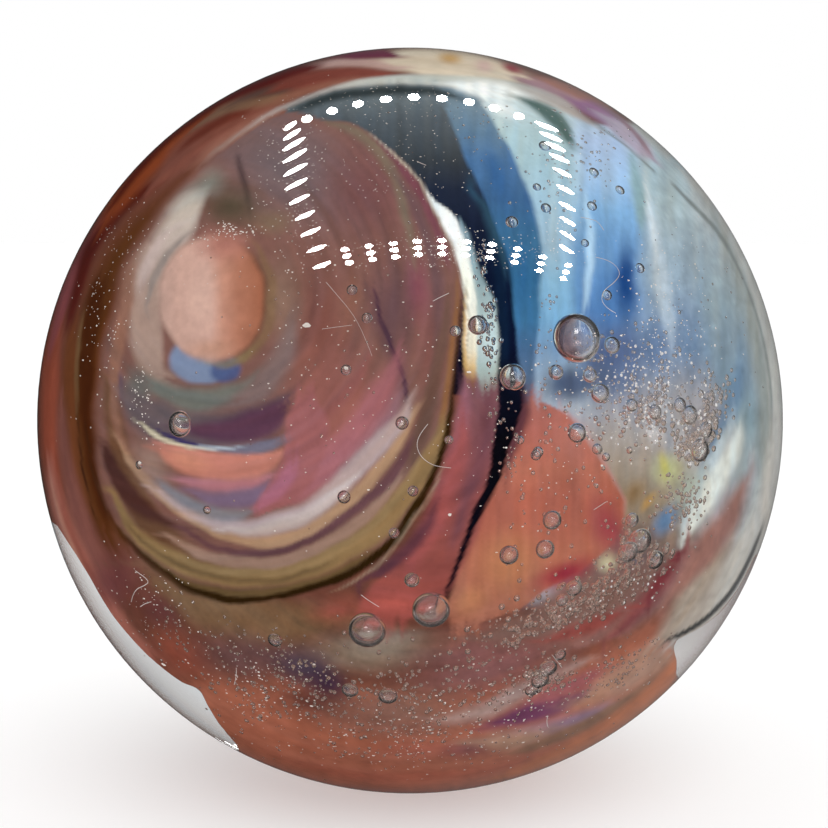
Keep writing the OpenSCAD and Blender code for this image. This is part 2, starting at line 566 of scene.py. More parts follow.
# The left flank and the top left, from the outline inwards.
flank_strokes = [
    ("umber flank", "rim", "5a3218", 26,
     [(184, 205, 20), (140, 262, 34), (112, 330, 36), (98, 400, 34), (100, 470, 30), (118, 530, 24)]),
    ("brown shoulder", "rim", "5c3218", 12, [(112, 300, 4), (102, 350, 5), (98, 400, 5), (100, 440, 4)]),
    ("brown middle", "rim", "6a3c22", 9,
     [(72, 330, 4), (70, 380, 6), (72, 430, 6), (78, 470, 5), (90, 510, 4)]),
    ("dark band", "rim", "45200c", 9,
     [(98, 290, 8), (88, 340, 8), (86, 390, 7), (89, 440, 6), (96, 480, 6), (106, 515, 5)]),
    ("rust edge", "rim", "8a4634", 10,
     [(66, 300, 2), (54, 340, 7), (50, 380, 9), (49, 420, 9), (50, 455, 8), (56, 490, 6), (62, 520, 3)]),
    ("rose lip", "rim", "84484c", 7,
     [(108, 215, 3), (86, 250, 5), (68, 290, 6), (58, 320, 4), (50, 350, 2)]),
    ("maroon seam", "rim", "4e1a14", 10,
     [(158, 182, 3), (146, 189, 5), (123, 206, 7), (104, 228, 7), (90, 250, 7), (79, 285, 6),
      (70, 320, 4)]),
    ("plum seam", "rim", "805048", 12,
     [(62, 400, 2), (63, 440, 5), (68, 470, 6), (76, 505, 8), (92, 545, 9), (112, 580, 8)]),
    ("black thread", "rim", "2c160c", 2,
     [(77, 410, 0.5), (79, 440, 1.0), (84, 475, 1.1), (93, 512, 0.6)], 0.8),
    ("brown thread", "rim", "38200f", 2,
     [(86, 425, 0.5), (90, 455, 1.0), (97, 488, 1.0), (106, 514, 0.5)], 0.7),
    ("olive thread", "rim", "7c6444", 4,
     [(82, 318, 0.8), (78, 350, 1.6), (77, 380, 1.4), (78, 404, 0.8)], 0.6),
    ("rose edge", "rim", "9c6256", 9,
     [(50, 470, 4), (60, 512, 8), (75, 548, 9), (96, 590, 10), (122, 628, 9), (150, 655, 5)]),
    ("rose streak", "rim", "84483f", 6, [(60, 490, 1), (68, 525, 3), (84, 560, 3), (104, 594, 2)], 0.6),
    # The pale streak beside the rose streak, near the lower left outline, is a painted highlight.
    ("light streak", "rim", "b08070", 4, [(52, 485, 1), (61, 520, 2), (76, 555, 2), (96, 596, 1.5)], 0.7),
    ("rust shoulder", "rim", "863f20", 14,
     [(104, 222, 3), (124, 192, 10), (145, 166, 12), (172, 142, 10), (196, 124, 5)]),
    ("dark edge", "rim", "5a1c0c", 7,
     [(112, 206, 2), (140, 168, 4), (170, 136, 5), (200, 113, 6), (222, 100, 5)]),
    ("rosewood brow", "rim", "7c4a3e", 13,
     [(160, 180, 4), (182, 156, 12), (206, 138, 13), (232, 122, 11), (258, 110, 8), (282, 101, 4)]),
    ("salmon brow", "rim", "8e6052", 9,
     [(196, 166, 3), (214, 150, 6), (236, 135, 6), (262, 119, 5), (288, 106, 3)], 0.8),
    ("tan brow", "rim", "7e5e4a", 8,
     [(206, 120, 2), (228, 109, 5), (250, 103, 6), (272, 99, 6), (292, 95, 2)]),
    ("maroon stripe", "rim", "6a3226", 6, [(184, 146, 2), (206, 130, 4), (228, 118, 4), (250, 111, 2)]),
    ("grey brow", "rim", "5c443c", 8,
     [(240, 100, 2), (262, 92, 5), (284, 88, 6), (300, 86, 4), (316, 84, 1)]),
    ("red brow", "rim", "540f0b", 8,
     [(206, 106, 3), (232, 92, 7), (260, 80, 9), (290, 71, 9), (318, 65, 4)]),
]
flank = lay(np.tile(glass_colour("6a4034"), (len(x), 1)), flank_strokes)

# The bottom, which is rust coloured and cloudy.
bottom_strokes = [
    ("rust bottom", "across", "a8654f", 50,
     [(190, 705, 26), (240, 735, 56), (330, 762, 70), (420, 772, 74), (540, 752, 74), (640, 690, 60),
      (690, 655, 30)]),
    ("olive fold", "across", "765a42", 26,
     [(140, 566, 6), (175, 596, 16), (215, 612, 22), (260, 622, 24), (300, 622, 18), (340, 616, 8)]),
    ("olive light", "oval", "80664e", 1.0, [(212, 604), (52, 16), -12], 0.8),
    ("mauve cheek", "oval", "6c3e3e", 1.0, [(116, 580), (40, 44), -50]),
    ("plum cheek", "oval", "643a38", 1.0, [(160, 612), (40, 26), -35]),
    ("rust cheek", "oval", "8e4c3c", 1.0, [(182, 656), (52, 30), -32]),
    ("smoke", "oval", "684846", 1.0, [(245, 656), (76, 36), -8]),
    ("taupe", "oval", "8a7868", 1.0, [(372, 650), (104, 32), 3]),
    ("taupe light", "oval", "94867a", 1.0, [(384, 640), (52, 16), 4], 0.7),
    ("blue smoke", "oval", "443a4a", 1.0, [(306, 668), (52, 28), -16], 0.9),
    ("violet dark", "oval", "38283e", 1.0, [(328, 686), (34, 24), -20], 0.9),
    ("dark plum", "oval", "4c2c2c", 1.0, [(318, 704), (66, 22), -8], 0.8),
    ("mauve haze", "oval", "885a58", 1.0, [(490, 660), (120, 52), 12]),
    ("brown haze", "oval", "866054", 1.0, [(400, 712), (110, 36), 2]),
    ("red vein", "oval", "a05c4c", 1.0, [(424, 750), (84, 16), 0], 0.8),
    ("plum vein", "oval", "6a3c48", 1.0, [(470, 748), (40, 14), 8], 0.7),
    ("pale wedge", "across", "a88e88", 14,
     [(440, 720, 2), (462, 717, 5), (488, 709, 8), (515, 696, 9), (545, 682, 7), (572, 667, 4),
      (590, 658, 1)]),
    ("purple wedge", "across", "6a3856", 12,
     [(480, 727, 2), (502, 721, 6), (530, 713, 10), (558, 704, 10), (580, 696, 6), (596, 688, 2)]),
    ("rose wedge", "across", "a05c5e", 14, [(534, 700, 3), (558, 690, 8), (585, 680, 8), (610, 668, 3)]),
    ("lavender wedge", "across", "8c7084", 14,
     [(505, 737, 2), (532, 733, 6), (560, 726, 8), (588, 716, 7), (612, 704, 3)]),
    ("tan vein", "across", "a4806c", 16,
     [(478, 742, 3), (498, 742, 8), (520, 740, 9), (543, 734, 5), (556, 729, 2)]),
    ("sand end", "across", "a8806c", 22,
     [(580, 702, 4), (604, 688, 12), (632, 672, 17), (655, 662, 15), (672, 657, 8)]),
    ("olive hem", "rim", "86604a", 8,
     [(520, 752, 2), (545, 742, 5), (575, 730, 6), (606, 714, 6), (640, 691, 4), (660, 672, 1)]),
    ("rust foot", "rim", "a8644e", 16,
     [(250, 748, 4), (300, 770, 9), (360, 784, 10), (430, 786, 10), (500, 778, 8), (560, 757, 4)]),
    ("red foot", "rim", "98523f", 10,
     [(300, 764, 2), (360, 776, 5), (430, 776, 5), (500, 768, 4), (560, 748, 2)], 0.7),
    ("orange lip", "rim", "b5683f", 10,
     [(500, 778, 3), (545, 762, 7), (590, 740, 9), (630, 714, 10), (660, 688, 9), (676, 664, 5)]),
]
bottom = lay(flank, bottom_strokes)

# Right of the eye: a dark crescent, then blues that pale towards the right outline.
sky_strokes = [
    ("steel", "past",
     [(100, "748894"), (130, "5c7890"), (160, "486c94"), (200, "3a5f88"), (240, "3a688c"), (280, "2e5f88"),
      (320, "3a6c94"), (350, "46668a"), (390, "5a6c84")], 5,
     [(440, 90), (455, 133), (467, 165), (482, 192), (494, 219), (503, 245), (510, 272), (515, 319),
      (519, 354), (525, 395), (526, 440), (520, 600)]),
    ("cobalt", "oval", "2c588c", 0.9, [(496, 176), (14, 34), 16], 0.7),
    ("ice", "past",
     [(95, "c8d6d6"), (130, "a8c0c4"), (160, "a0bcc4"), (200, "9ab8c8"), (240, "9ab6c8"), (280, "84b0cc"),
      (320, "78a8cc"), (345, "7494b4"), (390, "98a8b8"), (430, "a4a4ac")], 7,
     [(476, 85), (489, 115), (510, 147), (521, 174), (534, 201), (539, 228), (542, 254), (541, 290),
      (539, 319), (536, 350), (534, 390), (530, 600)]),
    ("azure", "past",
     [(110, "a9bcc4"), (140, "a8bedc"), (180, "9cbcdc"), (210, "7ca8d0"), (240, "6c98c4"), (280, "6490c0"),
      (310, "5078aa"), (340, "586c92"), (390, "6c7890"), (430, "9a929c")], 22,
     [(560, 90), (572, 130), (578, 180), (576, 220), (572, 254), (574, 304), (578, 340), (590, 380),
      (600, 420), (600, 600)]),
    ("pale streak", "down", "b4d2e4", 7, [(586, 200, 2), (590, 240, 4), (588, 280, 4), (584, 310, 2)], 0.7),
    ("mid blue", "oval", "4a76ac", 0.9, [(606, 296), (20, 44), 0], 0.8),
    ("deep blue", "oval", "1c4682", 0.85, [(626, 280), (19, 50), 0]),
    ("mist", "past",
     [(120, "aab4b8"), (160, "a4b8be"), (200, "a2b4b8"), (240, "98aab4"), (280, "8ca0b0"), (320, "7c94b0"),
      (350, "7088a4"), (400, "98989e"), (440, "a4a0a0")], 24,
     [(585, 80), (610, 118), (634, 160), (640, 200), (644, 234), (642, 262), (640, 300), (636, 330),
      (642, 380), (650, 420), (650, 600)]),
    ("green seam", "down", "86a4a4", 9, [(632, 160, 3), (637, 185, 6), (640, 209, 5), (642, 230, 1)], 0.8),
    ("frost", "down", "bccbd6", 10, [(652, 210, 3), (658, 260, 7), (666, 310, 8), (672, 350, 3)], 0.7),
    ("frost thread", "down", "d2dce0", 5, [(646, 190, 1), (652, 220, 2.5), (656, 250, 1)], 0.7),
    ("slate", "past",
     [(200, "aab2b4"), (250, "98a6ac"), (300, "8a9ca4"), (340, "7c909e"), (380, "748c9e"), (420, "7c949e"),
      (450, "98a8ac")], 28,
     [(690, 200), (700, 242), (700, 300), (706, 350), (722, 400), (735, 440), (735, 600)]),
    ("ink", "oval", "4c5c80", 0.9, [(612, 352), (48, 26), 8], 0.85),
    ("ink low", "oval", "3e4c68", 0.9, [(568, 384), (32, 24), 10], 0.95),
    ("slate mist", "oval", "5e7194", 0.9, [(652, 350), (44, 40), 0], 0.6),
    # The grey and pale bands along the right outline are painted reflection: the grey room that clear glass
    # at the rim shows.
    ("grey flank", "rim", "8c938f", 16,
     [(705, 196, 3), (742, 280, 7), (764, 360, 12), (770, 430, 12), (768, 500, 8)]),
    ("pale flank", "rim", "b2b5b1", 8,
     [(672, 158, 4), (690, 176, 6), (715, 200, 7), (750, 270, 7), (774, 360, 8), (781, 430, 9),
      (776, 500, 9), (765, 540, 6)]),
    ("grey thread", "rim", "6c7676", 3,
     [(656, 173, 0.8), (681, 193, 1.6), (699, 211, 2), (714, 227, 2), (727, 246, 1.8), (739, 269, 1)]),
]
crescent_strokes = [
    ("teal edge", "down", "2e4e62", 14,
     [(470, 190, 2), (486, 208, 4), (495, 230, 6), (501, 252, 5), (506, 280, 2)], 0.9),
]
dark_crescent = shade(
    [(90, "6c767a"), (120, "50585e"), (160, "363c42"), (190, "20283a"), (230, "141c30"), (280, "0a142c"),
     (330, "08102a"), (400, "07060f"), (600, "07060f")], y)
sky = lay(lay(dark_crescent, crescent_strokes), sky_strokes)
crescent_edge_px = [
    (285, 60), (285, 380), (480, 400), (496, 440), (480, 500), (462, 550), (446, 600), (446, 800)]
sky_floor_px = [(445, 600), (500, 605), (560, 600), (620, 580), (680, 560), (740, 540), (790, 500)]
brow_px = np.array([
    (592, 122), (566, 108), (530, 93), (480, 82), (430, 78), (380, 80), (330, 91), (299, 101), (272, 113),
    (247, 128), (222, 146), (206, 163)])
brow_turn, brow_reach = around(brow_px[:, 0], brow_px[:, 1], ball_px, rim_seam)
past_outline_px = 400
brow_line = [
    (0, past_outline_px), (6, 382), *zip(brow_turn, brow_reach), (100, past_outline_px),
    (360, past_outline_px)]
under_brow = ease(curve(rim_turn, brow_line) - rim_reach, -3, 3)
sky_mask = past_mask(4, crescent_edge_px) * (1 - below_mask(18, sky_floor_px)) * under_brow
ground = blend(bottom, sky, sky_mask)

# The right and the middle below the sky: coral, brick and a black point between them.
right_strokes = [
    ("seed haze", "oval", "9c9da2", 1.0, [(652, 420), (92, 48), 4], 0.9),
    ("ink under", "oval", "4a5874", 1.0, [(590, 380), (62, 28), 6], 0.85),
    # The pale oval on the froth is a painted highlight over the froth's own paler glass.
    ("froth light", "oval", "ccc6c2", 1.0, [(652, 438), (18, 16), 0], 0.8),
    ("mauve field", "down",
     [(420, "a09c9c"), (460, "a09488"), (500, "928470"), (560, "7a625c"), (620, "8a6058")], 26,
     [(610, 415, 10), (620, 440, 34), (640, 470, 48), (645, 510, 50), (640, 550, 54), (615, 590, 60),
      (580, 630, 50), (560, 650, 10)]),
    # The pale grey band along the lower right outline is painted: it stands for the pale room seen through
    # the clear glass past the swirl's edge.
    ("grey hem", "rim", "bab8b2", 16,
     [(778, 430, 6), (770, 490, 12), (755, 540, 18), (732, 585, 22), (700, 618, 18), (676, 640, 6)]),
    ("tan hem", "rim", "a89a8c", 18,
     [(728, 540, 3), (712, 570, 10), (692, 602, 16), (676, 626, 12), (660, 640, 4)]),
    ("blue strip", "down", "647f98", 14,
     [(744, 360, 3), (736, 390, 8), (724, 418, 9), (714, 445, 7), (706, 470, 4), (700, 488, 2)]),
    ("silver arc", "down", "b4c0c4", 12,
     [(730, 425, 2), (718, 452, 7), (704, 480, 9), (692, 508, 7), (682, 528, 2)]),
    ("white arc", "down", "dce0d8", 12,
     [(740, 424, 1), (735, 445, 6), (724, 468, 10), (711, 490, 11), (698, 512, 9), (688, 530, 4),
      (682, 540, 1)]),
    ("cocoa arc", "down", "94685e", 20,
     [(752, 470, 1), (742, 490, 7), (730, 514, 13), (713, 538, 17), (696, 560, 17), (678, 582, 13),
      (660, 604, 6)]),
    ("rose hem", "down", "7c4446", 16,
     [(688, 545, 3), (674, 564, 8), (658, 586, 11), (642, 606, 10), (624, 626, 7), (604, 640, 2)]),
    ("raspberry streak", "down", "6e2e34", 8,
     [(687, 543, -4), (681, 552, 4), (669, 568, 5.5), (658, 584, 5), (648, 600, 2)]),
    ("lime glint", "oval", "b4b483", 1.0, [(668, 470), (26, 26), 20], 0.9),
    ("yellow glint", "oval", "b8b468", 1.0, [(664, 466), (7, 20), 12]),
    ("olive side", "oval", "8c7050", 1.0, [(634, 494), (16, 24), -30]),
    ("honey glint", "oval", "b48e58", 0.9, [(648, 502), (7, 18), -38]),
    ("moss texture", "oval", "a0a697", 1.0, [(688, 490), (20, 38), -32], 0.9),
    ("blue smoke right", "oval", "5c7898", 0.9, [(666, 520), (15, 30), -35]),
    ("slate smoke right", "oval", "505a68", 0.9, [(634, 556), (15, 15), 0], 0.9),
    ("bubble shade", "oval", "766866", 1.0, [(704, 428), (20, 42), -25], 0.9),
    ("bubble shade low", "oval", "66524f", 1.0, [(642, 540), (20, 24), 0]),
    ("seed band", "across", "7a5c54", 22,
     [(480, 640, 5), (530, 624, 15), (590, 604, 17), (630, 584, 12), (655, 564, 4)]),
    ("khaki patch", "oval", "c0b896", 1.0, [(607, 562), (17, 16), 30]),
    ("red hem", "across", "8c4640", 12, [(545, 640, 2), (570, 632, 6), (600, 622, 7), (626, 608, 3)]),
    ("coral", "down",
     [(400, "a8685e"), (430, "ae665a"), (470, "ae6a58"), (500, "aa6252"), (530, "ae6654"), (560, "b26e58"),
      (600, "a66a56")], 7,
     [(534, 402, 8), (538, 410, 22), (546, 430, 35), (548, 458, 53), (550, 482, 65), (550, 502, 75),
      (546, 520, 78), (536, 545, 74), (518, 570, 62), (500, 590, 48), (482, 610, 34), (466, 624, 14)]),
    ("apricot", "oval", "b87a56", 1.0, [(508, 562), (44, 48), -30], 0.9),
    ("pink coral", "oval", "b4786c", 1.0, [(570, 440), (40, 32), -35], 0.5),
    ("crimson", "oval", "98424c", 1.0, [(608, 528), (26, 44), 18], 0.9),
    ("raspberry", "oval", "8e2f3c", 1.0, [(566, 573), (52, 19), 24]),
    ("pink edge", "down", "b98a88", 5,
     [(560, 406, 1.5), (582, 428, 2), (602, 457, 2.2), (616, 482, 2), (626, 503, 1)], 0.6),
    ("brick strip", "down",
     [(385, "7c545a"), (420, "84545a"), (460, "885052"), (500, "884a48"), (550, "8c4c46"),
      (600, "964e48")], 10,
     [(482, 382, 18), (482, 400, 22), (478, 430, 26), (468, 470, 28), (452, 520, 30), (430, 560, 36),
      (404, 596, 40), (380, 620, 26)]),
    ("rose ribbon", "down", "966270", 10,
     [(464, 388, 3), (463, 410, 6), (459, 435, 5), (452, 460, 2)], 0.8),
    ("red ribbon", "down", "9c5250", 14,
     [(462, 420, 4), (458, 450, 8), (448, 490, 9), (432, 530, 9), (412, 560, 8)], 0.9),
    ("wine ribbon", "down", "6e444c", 14,
     [(490, 392, 5), (486, 430, 8), (478, 465, 8), (466, 505, 6), (452, 545, 3)], 0.9),
    ("plum ribbon", "down", "56323e", 14,
     [(438, 500, 2), (424, 528, 6), (404, 552, 9), (380, 572, 8), (360, 584, 3)], 0.9),
    ("red coral", "oval", "ae5850", 1.0, [(396, 604), (50, 19), 8]),
    ("rust under", "oval", "8c4c40", 1.0, [(338, 610), (40, 20), 10]),
    ("apricot foot", "oval", "b47858", 1.0, [(472, 600), (28, 22), 30]),
    ("plum shade", "down", "4e2c38", 12, [(524, 398, 5), (520, 420, 7), (512, 446, 6), (505, 470, 2)], 0.9),
    ("teal shade", "down", "0c1d34", 8, [(494, 250, 3), (500, 290, 6), (504, 330, 6), (504, 370, 5)], 0.9),
    ("navy point", "down", [(380, "0a0f20"), (440, "05040c"), (600, "0c0914")], 3,
     [(507, 366, 9), (509, 384, 11), (510, 402, 12), (506, 421, 11), (502, 440, 9), (497, 462, 7),
      (490, 487, 5.5), (480, 509, 5), (469, 532, 3.4), (459, 560, 2.8), (449, 584, 2.2), (445, 593, 0.8)]),
    # The black line at the swirl's lower right edge is a painted dark refraction, the dark line that the
    # clear glass shows there.
    ("black hem", "rim", "1a1818", 2.5,
     [(763, 525, 1), (753, 551, 1.8), (736, 584, 2.2), (716, 609, 2.4), (697, 625, 2.6), (679, 635, 2.4),
      (667, 640, 1)]),
    ("aqua strip", "down",
     [(200, "7e98a2"), (240, "8099a6"), (280, "8ca6ae"), (320, "b2c6c6"), (350, "bccccc"),
      (368, "a8b8b2"), (388, "94948c")], 5,
     [(452, 204, -6), (459, 220, 1), (465, 238, 5), (470, 262, 6.5), (475, 283, 8), (482, 300, 10.5),
      (485, 315, 11), (487, 340, 11.5), (487, 370, 11.5), (487, 380, 10)]),
    ("cream band", "down",
     [(190, "e4eae8"), (230, "f2f6f6"), (280, "eef2e6"), (320, "f2efe0"), (350, "f0e8d0"), (368, "dcbc88"),
      (384, "9c6a4c")], 4,
     [(420, 178, -3), (431, 196, 2), (440, 208, 6), (448, 221, 8), (456, 240, 8), (462, 262, 7),
      (467, 285, 5.5), (470, 310, 5.5), (470, 340, 6.5), (471, 362, 6.5), (472, 376, 5)]),
    ("gold seam", "down", "c49c58", 3,
     [(464, 305, 0.6), (464.5, 330, 1.3), (465, 355, 1.8), (466, 370, 2)], 0.8),
    ("dark seam", "down", "6a5638", 2,
     [(465, 290, 0.5), (467, 310, 0.7), (468, 340, 0.7), (468, 362, 0.5)], 0.6),
]
ground = lay(ground, right_strokes)

# The brow: bands along the top outline.
brow_strokes = [
    ("beige brow", "rim", "d0c2ac", 9,
     [(378, 62, 4), (400, 60, 10), (430, 62, 14), (460, 64, 14), (490, 70, 12), (515, 78, 8)]),
    ("pink patches", "rim", "b89890", 7, [(318, 66, 3), (345, 63, 5), (375, 64, 5), (395, 68, 2)], 0.9),
    ("rust triangle", "rim", "7a3e34", 8,
     [(284, 86, 6), (310, 80, 8), (340, 75, 8), (370, 74, 6), (396, 76, 2)]),
    ("brown under", "rim", "8a5a4a", 8, [(280, 100, 3), (310, 90, 4), (345, 82, 4), (385, 80, 2)], 0.8),
    ("maroon lip", "rim", "66203a", 5, [(340, 57, 2), (362, 54, 4.5), (385, 54, 4.5), (400, 57, 1)]),
    ("ochre patch", "oval", "b8945e", 0.9, [(450, 58), (18, 9), -6]),
    ("pink brow", "oval", "c8aaa2", 0.9, [(484, 66), (14, 10), -12], 0.9),
    ("cherry patch", "oval", "8a2c38", 0.85, [(512, 68), (16, 7), -20]),
    ("mauve brow", "rim", "9c7a82", 8, [(524, 80, 4), (548, 88, 7), (575, 100, 7), (590, 108, 3)]),
    ("copper lip", "rim", "96665a", 5,
     [(540, 78, 2), (562, 86, 4.5), (585, 96, 5), (604, 105, 4), (614, 113, 1)]),
    ("violet brow", "rim", "8c6084", 8, [(574, 102, 2), (590, 108, 7), (606, 117, 7), (622, 128, 4)]),
    ("lilac streaks", "rim", "a89cac", 9, [(606, 118, 3), (622, 130, 8), (640, 146, 8), (654, 160, 3)]),
    ("mauve line", "rim", "8a6c78", 3, [(606, 108, 1), (626, 124, 1.8), (642, 142, 2), (653, 159, 1)]),
    ("pale rim line", "rim", [(78, "bfc5bd"), (92, "b4b0aa"), (130, "9c8a82"), (165, "7c6a62")], 5,
     [(204, 164, 0.8), (222, 146, 1.2), (247, 128, 1.5), (272, 113, 1.6), (299, 101, 1.8), (330, 90, 2.2),
      (360, 83, 3.5), (405, 80, 5), (450, 81, 6), (490, 85, 7), (530, 93, 7), (560, 104, 6), (580, 116, 3),
      (592, 124, 1)], 0.9),
    ("dark brow", "rim", "2e3638", 9,
     [(296, 108, 3), (330, 98, 5), (369, 92, 5), (410, 91, 5), (440, 93, 4), (462, 99, 1)]),
    ("white brow", "rim", "eef2ee", 9,
     [(446, 82, 1), (466, 87, 5), (484, 89, 8), (502, 91, 8), (518, 95, 5), (532, 99, 1)]),
    ("white cap", "oval", "e2e9e8", 1.0, [(502, 108), (30, 12), -24]),
    ("teal brow", "rim", "4a625e", 8,
     [(514, 96, 1), (530, 103, 4), (545, 112, 7), (558, 121, 8), (567, 132, 7), (573, 146, 3)]),
]
ground = lay(ground, brow_strokes)

# The eye: rings of glass twisted round a pale disc.
eye_edge_px = np.array([
    (323, 120), (355, 126), (380, 142), (405, 163), (421, 181), (432, 201), (442, 222), (453, 245),
    (460, 272), (462, 300), (460, 340), (455, 380), (451, 420), (445, 450), (434, 480), (419, 510),
    (397, 540), (350, 578), (320, 589), (276, 600), (234, 604), (193, 594), (159, 575), (131, 548),
    (104, 495), (96, 420), (104, 345), (119, 290), (140, 240), (165, 205), (190, 178), (206, 166),
    (224, 149), (249, 131), (274, 117), (298, 112)])
edge_turn, edge_reach = around(eye_edge_px[:, 0], eye_edge_px[:, 1], eye_px, eye_seam)
eye_line = sorted(zip(edge_turn, edge_reach))
eye_line = [(eye_line[-1][0] - 360, eye_line[-1][1]), *eye_line, (eye_line[0][0] + 360, eye_line[0][1])]
edge_fade_px, left_fade_px = 4, 14
eye_fade = edge_fade_px + left_fade_px * (1 - ease(x, 150, 230))
eye_mask = ease((curve(eye_turn, eye_line) - eye_reach) / eye_fade, -0.5, 0.5)

